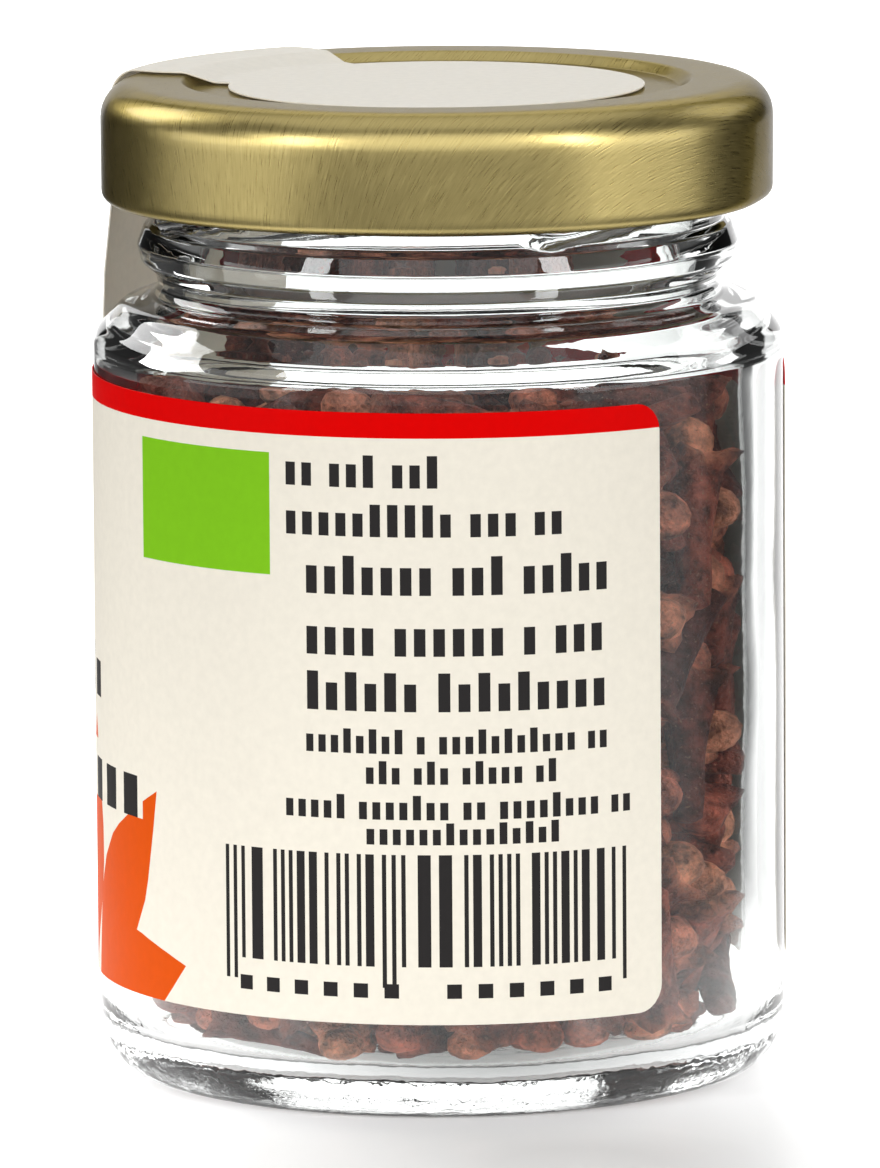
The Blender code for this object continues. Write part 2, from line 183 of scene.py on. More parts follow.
inner_profile = filleted(
    [
        (0.0, 3.4, 0),
        (13.0, 3.2, 30),
        (INNER_WALL, 2.6, 3.0),
        (INNER_WALL, 55.6, 1.4),
        (BORE, 59.25, 1.75),
        (BORE, MOUTH_TOP, 0.8),
        (MOUTH_MIDDLE, MOUTH_TOP, 0),
    ]
)
outer_profile = filleted(
    [
        (MOUTH_MIDDLE, MOUTH_TOP, 0),
        (FINISH, MOUTH_TOP, 1.2),
        (FINISH, 65.5, 0.3),
        (22.5, 65.1, 0.6),
        (23.0, 63.7, 0.65),
        (22.7, 62.4, 0.8),
        (21.6, 61.5, 0.5),
        (21.4, 60.5, 0.5),
        (21.95, 59.8, 1.0),
        (24.15, 59.3, 2.0),
        (BODY, 56.85, 2.2),
        (BODY, 50.0, 0),
    ]
)
outer_profile += arc((HEEL_RADIUS, HEEL_HEIGHT), (BODY - HEEL_RADIUS, HEEL_HEIGHT), 0, -90, 14)
outer_profile += filleted([(HEEL_RADIUS, 0.0, 0), (19.9, 0.0, 0.8), (18.0, 1.0, 2.0), (0.0, 1.4, 0)])
inner_count = len(dense(inner_profile, 0.8))
jar_profile = dense(inner_profile, 0.8) + dense(outer_profile, 0.45)[1:]


def thread_lift(angle, z):
    """Height of the thread ridges over the finish at an angle and height."""
    lift = 0.0
    for index in range(LUGS):
        past = (angle - THREAD_START - LUG_APART * index) % 360.0
        if past > 180.0:
            past -= 360.0
        if -THREAD_RUN_IN < past < THREAD_SPAN + THREAD_RUN_IN:
            ends = min(1.0, (past + THREAD_RUN_IN) / 7.0, (THREAD_SPAN + THREAD_RUN_IN - past) / 7.0)
            off = (z - THREAD_FOOT - THREAD_RISE * past) / THREAD_HALF
            if abs(off) < 1.0:
                rise = math.sqrt(1.0 - off * off)
                lift = max(lift, THREAD_HEIGHT * rise * math.sin(ends * math.pi / 2))
    return lift


def glass_shape(angle, r, z, station):
    """Ridges on the mouth, and the slow waves that a blown inner wall has."""
    if station >= inner_count:
        if z > 65.0 and r > 21.5:
            return max(r, FINISH + thread_lift(angle, z)), z
        return r, z
    spot = Vector((math.cos(math.radians(angle)) * 2.2, math.sin(math.radians(angle)) * 2.2, z * 0.09))
    wave = noise.noise(spot)
    return r + WAVE * wave * min(1.0, r / 20.0), z + (FLOOR_WAVE * wave if z < 6.0 else 0.0)


jar = revolved("jar", jar_profile, GLASS_STEPS, glass_shape)
# Clear soda-lime glass, index 1.52: no colour of its own. The mould leaves slow ripples 3 mm long, hardly
# seen on the walls and strong on the heel, where they break the base's reflections into specks.
glass, tree, shader = finish_material("flint_glass", {
    "Base Color": linear("#FBFDFC"), "Roughness": 0.0, "IOR": 1.52, "Transmission Weight": 1.0})
coords = add(tree, "ShaderNodeTexCoord")
heights = add(tree, "ShaderNodeSeparateXYZ", {"Vector": coords.outputs["Object"]})
ripple = add(tree, "ShaderNodeTexNoise", {"Vector": coords.outputs["Object"], "Scale": 330.0, "Detail": 3.0})
on_heel = add(tree, "ShaderNodeMapRange", {
    "Value": heights.outputs["Z"], "From Min": 0.002, "From Max": 0.006, "To Min": 1.0, "To Max": 0.05})
stipple = add(tree, "ShaderNodeMath", {0: ripple.outputs["Fac"], 1: on_heel.outputs[0]}, operation="MULTIPLY")
moulded = add(tree, "ShaderNodeBump", {"Height": stipple.outputs[0], "Strength": 0.5, "Distance": 0.0003})
tree.links.new(moulded.outputs[0], shader.inputs["Normal"])
jar.data.materials.append(glass)
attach(jar, "root")
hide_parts("jar_glass")

# The cloves: whole dried flower buds, 14 mm long, poured in up to the shoulder. Each has a wrinkled
# four-sided stalk, four fleshy sepals that spread out, and a round bud of folded petals, paler than the rest.

CLOVES = 424
VARIANTS = 6
VARIANT_SHARES = (0.19, 0.19, 0.19, 0.18, 0.18, 0.07)
CLOVE_CORNERS = 16
CLOVE_MIDDLE = 7.0
CLOVE_BALLS = np.array([(-6.0, 1.05), (-3.6, 1.2), (-1.1, 1.45), (1.4, 1.8), (3.7, 2.6), (5.5, 2.1)])
HEAP_TOP = 55.9
FALL = 0.02
HEAP_SEED = 5
SETTLE_ROUNDS = 400
ROUNDS_PER_SEARCH = 12
SEARCH_MARGIN = 1.6


def clove_variant(name, draw, has_bud):
    """A clove along +Z with its middle at the origin: rings from the broken stalk end to the bud's tip."""
    bend = draw.uniform(-0.9, 0.9)
    squash = draw.uniform(0.8, 0.95)
    spread = draw.uniform(2.9, 3.5)
    twist = draw.uniform(0.0, 90.0)
    stalk = [(0.0, 0.55), (0.25, 0.95), (2.2, 1.1), (4.6, 1.25), (6.8, 1.55), (8.6, 1.95), (9.9, 2.1)]
    rings = [(z, [r] * 4, [0.0] * 4, 0.0) for z, r in stalk]
    rings.append((10.5, [spread, 2.55, 1.95, 2.55], [0.9, 0.35, 0.1, 0.35], 0.35))
    rings.append((10.8, [spread - 0.55, 2.3, 1.8, 2.3], [0.95, 0.4, 0.2, 0.4], 0.45))
    if has_bud:
        for step in (-25, 8, 36, 60):
            up = math.radians(step)
            rings.append((12.2 + 1.9 * math.sin(up), [1.85 * math.cos(up)] * 4, [0.0] * 4, 1.0))
        tip = 14.15
    else:
        rings.append((10.7, [1.5, 1.45, 1.4, 1.45], [0.0] * 4, 0.2))
        tip = 10.9
    verts, pale_by = [], []
    for z, radii, lifts, paleness in rings:
        for k in range(CLOVE_CORNERS):
            turn = 2.0 * math.pi * k / CLOVE_CORNERS
            r = radii[k % 4]
            if paleness == 0.0:
                r *= 1.0 + 0.06 * math.cos(4 * turn) + draw.uniform(-0.07, 0.07)
            if paleness == 1.0:
                r *= 1.0 - 0.07 * abs(math.sin(2 * turn)) ** 3 + draw.uniform(-0.03, 0.03)
            lean = math.radians(twist)
            x = r * math.cos(turn + lean)
            y = r * math.sin(turn + lean) * (squash if paleness < 0.3 else 1.0)
            height = z + lifts[k % 4]
            share = height / (2 * CLOVE_MIDDLE)
            verts.append((x + bend * (share - share * share) * 2.2, y, height - CLOVE_MIDDLE))
            pale_by.append(paleness)
    top = len(verts)
    verts.append((0.0, 0.0, tip - CLOVE_MIDDLE))
    pale_by.append(1.0 if has_bud else 0.1)
    faces = [tuple(reversed(range(CLOVE_CORNERS)))]
    for level in range(len(rings) - 1):
        a, b = level * CLOVE_CORNERS, (level + 1) * CLOVE_CORNERS
        for k in range(CLOVE_CORNERS):
            beside = (k + 1) % CLOVE_CORNERS
            faces.append((a + k, a + beside, b + beside, b + k))
    last = (len(rings) - 1) * CLOVE_CORNERS
    faces += [(last + k, last + (k + 1) % CLOVE_CORNERS, top) for k in range(CLOVE_CORNERS)]
    mesh = bpy.data.meshes.new(name)
    mesh.from_pydata([tuple(c * MM for c in v) for v in verts], [], faces)
    mesh.shade_smooth()
    pale = mesh.attributes.new("pale", "FLOAT", "POINT")
    pale.data.foreach_set("value", pale_by)
    return bpy.data.objects.new(name, mesh)


def cavity_radius(z):
    """Inner radius of the glass at heights z, in millimetres."""
    wall = [(r, h) for r, h in inner_profile if r > BORE - 0.1 and h < 62.0]
    return np.interp(z, [h for _, h in wall], [r for r, _ in wall])


def cavity_floor(x, y):
    """Height of the glass floor, which falls a little from the middle to the wall."""
    return np.interp(np.hypot(x, y), (0.0, 13.0, INNER_WALL), (3.4, 3.2, 2.6)) + 0.15


def settle(count, draw):
    """Lets cloves, each a row of overlapping balls, settle until they hardly press on each other."""
    offsets, radii = CLOVE_BALLS[:, 0], CLOVE_BALLS[:, 1]
    balls_each = len(offsets)
    turn = draw.uniform(0, 2 * math.pi, count)
    reach = 21.0 * np.sqrt(draw.uniform(0, 1, count))
    middles = np.stack([reach * np.cos(turn), reach * np.sin(turn), draw.uniform(6, 54, count)], axis=1)
    axes = draw.normal(size=(count, 3)) * (1.0, 1.0, 0.75)
    axes /= np.linalg.norm(axes, axis=1, keepdims=True)
    sizes = draw.uniform(0.88, 1.08, count)
    owner = np.repeat(np.arange(count), balls_each)
    ball_radii = (sizes[:, None] * radii[None, :]).ravel()
    arms = sizes[:, None] * offsets[None, :]
    spin = (arms**2).sum(axis=1)
    for step in range(SETTLE_ROUNDS):
        middles[:, 2] -= FALL * (1.0 - 0.8 * step / SETTLE_ROUNDS)
        balls = (middles[:, None, :] + axes[:, None, :] * arms[:, :, None]).reshape(-1, 3)
        if step % ROUNDS_PER_SEARCH == 0:
            first, second = [], []
            order = np.argsort(balls[:, 2], kind="stable")
            heights = balls[order, 2]
            window = 2 * ball_radii.max() + 2.0
            ends = np.searchsorted(heights, heights + window)
            for place, index in enumerate(order):
                others = order[place + 1 : ends[place]]
                gap = balls[others] - balls[index]
                reached = ball_radii[others] + ball_radii[index] + SEARCH_MARGIN
                near = (gap * gap).sum(axis=1) < reached**2
                near &= owner[others] != owner[index]
                second.append(others[near])
                first.append(np.full(near.sum(), index))
            first = np.concatenate(first)
            second = np.concatenate(second)
        gap = balls[first] - balls[second]
        distance = np.sqrt((gap * gap).sum(axis=1)) + 1e-9
        overlap = np.clip(ball_radii[first] + ball_radii[second] - distance, 0.0, None)
        push = gap / distance[:, None] * (0.5 * overlap)[:, None]
        moves = np.zeros_like(balls)
        np.add.at(moves, first, push)
        np.add.at(moves, second, -push)
        around = np.hypot(balls[:, 0], balls[:, 1]) + 1e-9
        past = np.clip(around + ball_radii - cavity_radius(balls[:, 2]), 0.0, None)
        moves[:, :2] -= balls[:, :2] / around[:, None] * past[:, None]
        moves[:, 2] += np.clip(cavity_floor(balls[:, 0], balls[:, 1]) + ball_radii - balls[:, 2], 0.0, None)
        moves[:, 2] -= np.clip(balls[:, 2] + ball_radii - HEAP_TOP, 0.0, 0.4)
        moves = moves.reshape(count, balls_each, 3)
        middles += moves.mean(axis=1) * 1.6
        tilt = (moves * arms[:, :, None]).sum(axis=1) / spin[:, None]
        tilt -= axes * (tilt * axes).sum(axis=1, keepdims=True)
        axes += tilt * 1.4
        axes /= np.linalg.norm(axes, axis=1, keepdims=True)
    return middles, axes, sizes


draw = np.random.RandomState(HEAP_SEED)
variants = bpy.data.collections.new("clove_variants")
for index in range(VARIANTS):
    variants.objects.link(clove_variant(f"clove_{index}", draw, has_bud=index < VARIANTS - 1))
in_order = sorted(variants.objects, key=lambda one: one.name)
shapes = [np.array([v.co for v in one.data.vertices]) / MM for one in in_order]
middles, axes, sizes = settle(CLOVES, draw)
kinds = draw.choice(VARIANTS, CLOVES, p=VARIANT_SHARES)
points = bpy.data.meshes.new("clove_points")
points.vertices.add(CLOVES)
turns = points.attributes.new("turn", "FLOAT_VECTOR", "POINT")
for k, axis in enumerate(axes):
    aim = Vector(axis).to_track_quat("Z", "Y") @ Euler((0, 0, draw.uniform(0, 2 * math.pi))).to_quaternion()
    turns.data[k].vector = aim.to_euler()
    body = shapes[kinds[k]] @ np.array(aim.to_matrix()).T * sizes[k]
    for _ in range(12):
        spots = body + middles[k]
        around = np.hypot(spots[:, 0], spots[:, 1])
        past = around + 0.03 - cavity_radius(spots[:, 2])
        worst = int(past.argmax())
        if past[worst] > 0:
            middles[k, :2] -= spots[worst, :2] / around[worst] * past[worst]
        under = cavity_floor(spots[:, 0], spots[:, 1]) - spots[:, 2]
        middles[k, 2] += max(0.0, under.max())
    points.vertices[k].co = middles[k] * MM
points.attributes.new("size", "FLOAT", "POINT").data.foreach_set("value", sizes)
points.attributes.new("tone", "FLOAT", "POINT").data.foreach_set("value", draw.uniform(0, 1, CLOVES))
points.attributes.new("kind", "INT", "POINT").data.foreach_set("value", kinds)
cloves = bpy.data.objects.new("cloves", points)
bpy.context.scene.collection.objects.link(cloves)

# Dried clove: dull and dusty, dark brown with red-brown rubbed places, and pale orange-brown buds.
clove_skin, tree, shader = finish_material("dried_clove", {
    "Roughness": 0.62, "Specular IOR Level": 0.35})
coords = add(tree, "ShaderNodeTexCoord")
mottle = add(tree, "ShaderNodeTexNoise", {"Vector": coords.outputs["Object"], "Scale": 520.0, "Detail": 5.0,
                                          "Roughness": 0.65})
wrinkle = add(tree, "ShaderNodeTexNoise", {
    "Vector": coords.outputs["Object"], "Scale": 1700.0, "Detail": 3.0})
dust = add(tree, "ShaderNodeTexNoise", {"Vector": coords.outputs["Object"], "Scale": 4200.0, "Detail": 2.0})
tone = add(tree, "ShaderNodeAttribute", attribute_name="tone")
pale = add(tree, "ShaderNodeAttribute", attribute_name="pale")
stalk_tone = add(tree, "ShaderNodeMix", {
    "Factor": tone.outputs["Fac"], 6: linear("#4E2B28"), 7: linear("#A25644")}, data_type="RGBA")
bud_tone = add(tree, "ShaderNodeMix", {
    "Factor": tone.outputs["Fac"], 6: linear("#BC6350"), 7: linear("#E89E7C")}, data_type="RGBA")
skin = add(tree, "ShaderNodeMix", {
    "Factor": pale.outputs["Fac"], 6: stalk_tone.outputs[2], 7: bud_tone.outputs[2]}, data_type="RGBA")
spread = add(tree, "ShaderNodeMapRange", {"Value": mottle.outputs["Fac"], "From Min": 0.36, "From Max": 0.66,
                                          "To Min": 0.3, "To Max": 1.7})
speckled = add(tree, "ShaderNodeMix", {"Factor": 1.0, 6: skin.outputs[2], 7: spread.outputs[0]},
               data_type="RGBA", blend_type="MULTIPLY")
powder = add(tree, "ShaderNodeMapRange", {"Value": dust.outputs["Fac"], "From Min": 0.62, "From Max": 0.74,
                                          "To Max": 0.6})
dusted = add(tree, "ShaderNodeMix", {
    "Factor": powder.outputs[0], 6: speckled.outputs[2], 7: linear("#B58E78")}, data_type="RGBA")
lumps = add(tree, "ShaderNodeBump", {"Height": mottle.outputs["Fac"], "Strength": 1.0, "Distance": 0.0014})
relief = add(tree, "ShaderNodeBump", {"Height": wrinkle.outputs["Fac"], "Strength": 1.0, "Distance": 0.0006,
                                      "Normal": lumps.outputs[0]})
tree.links.new(dusted.outputs[2], shader.inputs["Base Color"])
tree.links.new(relief.outputs[0], shader.inputs["Normal"])

nodes = bpy.data.node_groups.new("scatter_cloves", "GeometryNodeTree")
nodes.interface.new_socket("Points", in_out="INPUT", socket_type="NodeSocketGeometry")
nodes.interface.new_socket("Cloves", in_out="INPUT", socket_type="NodeSocketCollection")
nodes.interface.new_socket("Skin", in_out="INPUT", socket_type="NodeSocketMaterial")
nodes.interface.new_socket("Heap", in_out="OUTPUT", socket_type="NodeSocketGeometry")
entry = add(nodes, "NodeGroupInput")
kinds_in = add(nodes, "GeometryNodeCollectionInfo", {
    "Collection": entry.outputs["Cloves"], "Separate Children": True, "Reset Children": True})
kind = add(nodes, "GeometryNodeInputNamedAttribute", {"Name": "kind"}, data_type="INT")
turn = add(nodes, "GeometryNodeInputNamedAttribute", {"Name": "turn"}, data_type="FLOAT_VECTOR")
size = add(nodes, "GeometryNodeInputNamedAttribute", {"Name": "size"}, data_type="FLOAT")
scatter = add(nodes, "GeometryNodeInstanceOnPoints", {
    "Points": entry.outputs["Points"], "Instance": kinds_in.outputs[0], "Pick Instance": True,
    "Instance Index": kind.outputs[0], "Rotation": turn.outputs[0], "Scale": size.outputs[0]})
real = add(nodes, "GeometryNodeRealizeInstances", {"Geometry": scatter.outputs[0]})
dressed = add(nodes, "GeometryNodeSetMaterial", {
    "Geometry": real.outputs[0], "Material": entry.outputs["Skin"]})
add(nodes, "NodeGroupOutput", {"Heap": dressed.outputs[0]})
grow = cloves.modifiers.new("scatter", "NODES")
grow.node_group = nodes
for item in nodes.interface.items_tree:
    if item.in_out == "INPUT" and item.name == "Cloves":
        grow[item.identifier] = variants
    if item.in_out == "INPUT" and item.name == "Skin":
        grow[item.identifier] = clove_skin


def made_plain(obj):
    """Replaces an object's mesh by what its modifiers give, and removes them."""
    graph = bpy.context.evaluated_depsgraph_get()
    mesh = bpy.data.meshes.new_from_object(obj.evaluated_get(graph))
    obj.modifiers.clear()
    obj.data = mesh


made_plain(cloves)
for obj in list(variants.objects):
    bpy.data.objects.remove(obj, do_unlink=True)
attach(cloves, "root")
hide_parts("cloves_heap")

# The lid: drawn tinplate, lacquered gold outside, with a raised ring round a sunk panel, a rounded
# shoulder, a straight skirt and a rolled edge that four lugs pull in a little.

LID = 25.7
LID_LOW = 67.0
LID_TOP = 76.1
LID_PANEL = 75.4
LID_SHEET = 0.4
LID_STEPS = 200
RING_RADIUS = 19.5
PANEL_RADIUS = 18.6
CURL = 0.9
LUG_AT = 54.0
LUG_WIDTH = 9.0
LUG_PULL = 0.22
ROLLING = 235.0

lid_profile = filleted([(0.0, LID_PANEL, 0), (PANEL_RADIUS, LID_PANEL, 0.5), (RING_RADIUS, LID_TOP, 0.6),
                        (LID, LID_TOP, 2.7), (LID, LID_LOW + 1.2, 0)], 9)
lid_profile += arc((LID - CURL, LID_LOW + CURL), (CURL, CURL), 0, -225, 16)
lid_profile += filleted([(LID - LID_SHEET, LID_LOW + 2.2, 0), (LID - LID_SHEET, LID_TOP - LID_SHEET, 2.3),
                         (RING_RADIUS, LID_TOP - LID_SHEET, 0.3), (PANEL_RADIUS, LID_PANEL - LID_SHEET, 0.3),
                         (0.0, LID_PANEL - LID_SHEET, 0)])
lid_profile = dense(lid_profile, 0.7)
blank_radius = np.concatenate([[0.0], np.cumsum([math.hypot(b[0] - a[0], b[1] - a[1])
                                                for a, b in zip(lid_profile, lid_profile[1:])])])


def lid_shape(angle, r, z, station):
    """The lugs pull the lowest part of the skirt in, a little unevenly."""
    if z > LID_LOW + 4.0 or r < 22.0:
        return r, z
    pull = 0.0
    for index in range(LUGS):
        off = abs((angle - THREAD_START - LUG_AT - LUG_APART * index + 180.0) % 360.0 - 180.0)
        pull = max(pull, math.exp(-((off / LUG_WIDTH) ** 2)))
    low = min(1.0, (LID_LOW + 4.0 - z) / 3.0)
    return r - LUG_PULL * pull * low, z


lid = revolved("lid_gold", lid_profile, LID_STEPS, lid_shape)
rolled = lid.data.attributes.new("blank", "FLOAT_VECTOR", "POINT")
point = 0
for (r, _), flat_radius in zip(lid_profile, blank_radius):
    for k in range(1 if r < 1e-6 else LID_STEPS):
        turn = math.radians(360.0 * k / LID_STEPS - ROLLING)
        rolled.data[point].vector = (flat_radius * math.cos(turn), flat_radius * math.sin(turn), 0.0)
        point += 1
# Gold-lacquered tinplate: the rolling grain of the sheet shows through as fine straight scratches, about
# 0.12 mm wide. They lie across the lid and run down its skirt, where the sheet was drawn.
gold, tree, shader = finish_material("gold_lacquered_tinplate", {
    "Metallic": 1.0, "Roughness": 0.3, "Coat Weight": 0.2, "Coat Roughness": 0.12,
    "Specular Tint": linear("#74747E")})
flat = add(tree, "ShaderNodeAttribute", attribute_name="blank")
along_grain = add(tree, "ShaderNodeMapping", {"Vector": flat.outputs["Vector"], "Scale": (0.45, 8.0, 1.0)})
grain = add(tree, "ShaderNodeTexNoise", {"Vector": along_grain.outputs[0], "Scale": 1.0, "Detail": 3.0,
                                         "Roughness": 0.6})
tint = add(tree, "ShaderNodeMix", {
    "Factor": grain.outputs["Fac"], 6: linear("#9C8A50"), 7: linear("#D2C184")}, data_type="RGBA")
gloss = add(tree, "ShaderNodeMapRange", {"Value": grain.outputs["Fac"], "To Min": 0.17, "To Max": 0.45})
scratch = add(tree, "ShaderNodeBump", {"Height": grain.outputs["Fac"], "Strength": 0.13, "Distance": 0.0002})
tree.links.new(tint.outputs[2], shader.inputs["Base Color"])
tree.links.new(gloss.outputs[0], shader.inputs["Roughness"])
tree.links.new(scratch.outputs[0], shader.inputs["Normal"])
lid.data.materials.append(gold)
# The inside is white enamel, which the glass of the neck lets through as its palest band.
enamel, _, _ = finish_material("white_enamel", {"Base Color": linear("#ECEAE4"), "Roughness": 0.4})
lid.data.materials.append(enamel)
for face in lid.data.polygons:
    if face.normal.z < -0.5 and face.center.z > 70.0 * MM:
        face.material_index = 1
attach(lid, "root")
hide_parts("lid")

# The body label: coated cream paper, printed in flat colours and stuck on by hand, a little askew.
# It leaves a window at the front right. Its print is fields of colour, plain bars and plain shapes.

LABEL_RADIUS = 26.47
LABEL_PAPER = 0.1
LABEL_LEFT = math.radians(90.0 - 360.0) * LABEL_RADIUS
LABEL_RIGHT = math.radians(38.5) * LABEL_RADIUS
LABEL_LOW = 7.6
LABEL_HIGH = 53.95
LABEL_SLANT = -0.002
LABEL_CORNER = 2.2
LABEL_COLUMNS = 84
RED_LOW = 52.05
LEAF_LOW = 6.0
BAR_LEFT = -37.8
BAR_RIGHT = 32.2
BAR_LOW = 12.0
BAR_HIGH = 20.55
GUARD_LOW = 10.4
NARROW_BAR = 0.33
BAR_SEED = 3
PRINT_INK = "#2C2A2A"
LABEL_STOCK = "#E8E2D4"
CREASE = math.radians(40.0)


def cut_shape(sheet, outline):
    """Cuts the flat sheet along each edge of a convex outline, only where faces reach its box."""
    xs = [p[0] for p in outline]
    ys = [p[1] for p in outline]
    for start, end in zip(outline, outline[1:] + outline[:1]):
        near = [f for f in sheet.faces if max(v.co.x for v in f.verts) > min(xs) - 1e-6
                and min(v.co.x for v in f.verts) < max(xs) + 1e-6
                and max(v.co.y for v in f.verts) > min(ys) - 1e-6
                and min(v.co.y for v in f.verts) < max(ys) + 1e-6]
        geom = list({e for f in near for e in f.edges}) + list({v for f in near for v in f.verts}) + near
        normal = Vector((end[1] - start[1], start[0] - end[0], 0.0)).normalized()
        bmesh.ops.bisect_plane(sheet, geom=geom, dist=1e-5, plane_co=(*start, 0.0), plane_no=normal)


def inside(outline, point):
    """Whether a point lies in a convex outline that runs counterclockwise."""
    return all((e[0] - s[0]) * (point.y - s[1]) - (e[1] - s[1]) * (point.x - s[0]) >= -1e-6
               for s, e in zip(outline, outline[1:] + outline[:1]))


def box(left, low, right, high):
    return [(left, low), (right, low), (right, high), (left, high)]


def along(degrees_right):
    """Arc in millimetres on the flat label, from the front, for an angle to its right."""
    return math.radians(degrees_right) * LABEL_RADIUS


def leaf(x, y, length, width, lean):
    """A plain leaf that points up from its foot and leans by an angle to the right."""
    side = [(width * math.sin(math.pi * k / 8) ** 1.2, length * k / 8) for k in range(9)]
    outline = side + [(-w, h) for w, h in side[7:0:-1]]
    c, d = math.cos(math.radians(lean)), math.sin(math.radians(lean))
    return [(x + w * c + h * d, y - w * d + h * c) for w, h in outline]


# The print: a red band at the top, a green field, leaves in orange, and lines of small plain blocks
# where the label has its small print, each line with its letter width, its height and its words.
prints = [("red", box(LABEL_LEFT, RED_LOW, LABEL_RIGHT, 60.0), None)]
prints.append(("green", box(along(-57.5), 41.4, along(-28.6), 50.65), None))
for x, length, width, lean in ((-82, 22, 4.0, 36), (-82, 17, 4.2, 74), (-88, 22, 4.0, 6),
                               (-138, 19, 3.6, -42), (-138, 17, 3.4, -72), (-134, 21, 3.8, -8)):
    prints.append(("orange", leaf(along(x), LEAF_LOW, length, width, lean), None))
lines = [
    (-26.2, 48.3, 1.3, 2.5, (2, 3, 3)),
    (-26.2, 44.6, 1.32, 2.5, (10, 3, 2)),
    (-22.8, 40.2, 1.45, 3.0, (7, 3, 5)),
    (-22.8, 35.6, 1.45, 3.0, (4, 6, 1, 3)),
    (-22.8, 31.4, 1.5, 3.0, (6, 9)),
    (-22.8, 28.2, 0.98, 1.9, (8, 1, 11, 2)),
    (-12.7, 25.9, 0.98, 1.8, (3, 3, 5, 2)),
    (-26.5, 23.2, 1.02, 1.9, (5, 7, 2, 8, 2)),
    (-12.7, 21.3, 1.0, 1.7, (15,)),
    (-152, 29.2, 3.6, 4.0, (3, 6)),
    (-166, 21.2, 4.0, 4.6, (5, 1, 5)),
    (-140, 44.0, 2.2, 3.4, (4, 4)),
]
for start, low, pitch, height, words in lines:
    x = along(start)
    for letters in words:
        prints.append(("blocks", box(x, low, x + letters * pitch, low + height), (x, low, pitch, height)))
        x += (letters + 0.7) * pitch
# The bars: random widths and gaps, with longer guard bars at both ends and in the middle, and a row of
# small blocks below.
bars = np.random.RandomState(BAR_SEED)
x, count = along(BAR_LEFT), 0
while x < along(BAR_RIGHT):
    width = bars.choice((NARROW_BAR, 0.66, 0.99), p=(0.5, 0.32, 0.18))
    guard = count in (0, 1, 14, 15) or x > along(29.5)
    width = NARROW_BAR if guard else width
    prints.append(("ink", box(x, GUARD_LOW if guard else BAR_LOW, x + width, BAR_HIGH), None))
    x += width + (0.4 if guard else bars.choice((0.33, 0.6, 0.9), p=(0.5, 0.33, 0.17)))
    count += 1
for x in np.arange(-35.0, 29.0, 5.1):
    if abs(x + 4.0) > 2.0:
        prints.append(("ink", box(along(x), 9.6, along(x + 2.4), 10.7), None))

sheet = bmesh.new()
for k in range(LABEL_COLUMNS + 1):
    x = LABEL_LEFT + (LABEL_RIGHT - LABEL_LEFT) * k / LABEL_COLUMNS
    sheet.verts.new((x, LABEL_LOW, 0.0))
    sheet.verts.new((x, LABEL_HIGH, 0.0))
sheet.verts.ensure_lookup_table()
for k in range(LABEL_COLUMNS):
    sheet.faces.new([sheet.verts[2 * k + corner] for corner in (0, 2, 3, 1)])
for _, outline, _ in prints:
    cut_shape(sheet, outline)
inks = ["paper", "red", "green", "ink", "orange", "blocks"]
uv = sheet.loops.layers.uv.new("flat")
for face in sheet.faces:
    middle = face.calc_center_median()
    for ink, outline, grid in prints:
        if inside(outline, middle):
            face.material_index = inks.index(ink)
            for loop in face.loops if grid else ():
                x, low, pitch, height = grid
                at = loop.vert.co
                loop[uv].uv = ((at.x - x) / pitch + 100.0 + round(low), (at.y - low) / height)
for x_end, way in ((LABEL_LEFT, 1), (LABEL_RIGHT, -1)):
    for y_end, up in ((LABEL_LOW, 1), (LABEL_HIGH, -1)):
        centre = (x_end + way * LABEL_CORNER, y_end + up * LABEL_CORNER)
        for k in range(6):
            turn = math.radians(7.5 + 15 * k)
            out = Vector((-way * math.cos(turn), -up * math.sin(turn), 0.0))
            whole = sheet.faces[:] + sheet.edges[:] + sheet.verts[:]
            bmesh.ops.bisect_plane(sheet, geom=whole, dist=1e-5, plane_no=out, clear_outer=True,
                                   plane_co=Vector((*centre, 0.0)) + out * LABEL_CORNER)
for face in sheet.faces:
    face.smooth = True
for vert in sheet.verts:
    turn = math.radians(FRONT) + vert.co.x / LABEL_RADIUS
    rise = LABEL_SLANT * vert.co.x
    vert.co = Vector((LABEL_RADIUS * math.cos(turn), LABEL_RADIUS * math.sin(turn), vert.co.y + rise)) * MM
mesh = bpy.data.meshes.new("body_label")
sheet.to_mesh(mesh)
sheet.free()
label = bpy.data.objects.new("body_label", mesh)
bpy.context.scene.collection.objects.link(label)
thick = label.modifiers.new("paper", "SOLIDIFY")
thick.thickness = LABEL_PAPER * MM
thick.offset = 1.0
thick.material_offset_rim = len(inks)
thick.material_offset = len(inks)
made_plain(label)
label.data.set_sharp_from_angle(angle=CREASE)


# Coated label stock: a faint fibre mottle under flat ink, with a soft sheen.
def paper_material(name, code, roughness):
    made, tree, shader = finish_material(name, {"Roughness": roughness, "Specular IOR Level": 0.04})
    coords = add(tree, "ShaderNodeTexCoord")
    fibre = add(tree, "ShaderNodeTexNoise", {
        "Vector": coords.outputs["Object"], "Scale": 1400.0, "Detail": 4.0})
    shade = add(tree, "ShaderNodeMapRange", {"Value": fibre.outputs["Fac"], "To Min": 0.93, "To Max": 1.05})
    mixed = add(tree, "ShaderNodeMix", {"Factor": 1.0, 6: linear(code), 7: shade.outputs[0]},
                data_type="RGBA", blend_type="MULTIPLY")
    bump = add(tree, "ShaderNodeBump", {"Height": fibre.outputs["Fac"], "Strength": 0.08, "Distance": 0.0001})
    tree.links.new(mixed.outputs[2], shader.inputs["Base Color"])
    tree.links.new(bump.outputs[0], shader.inputs["Normal"])
    return made


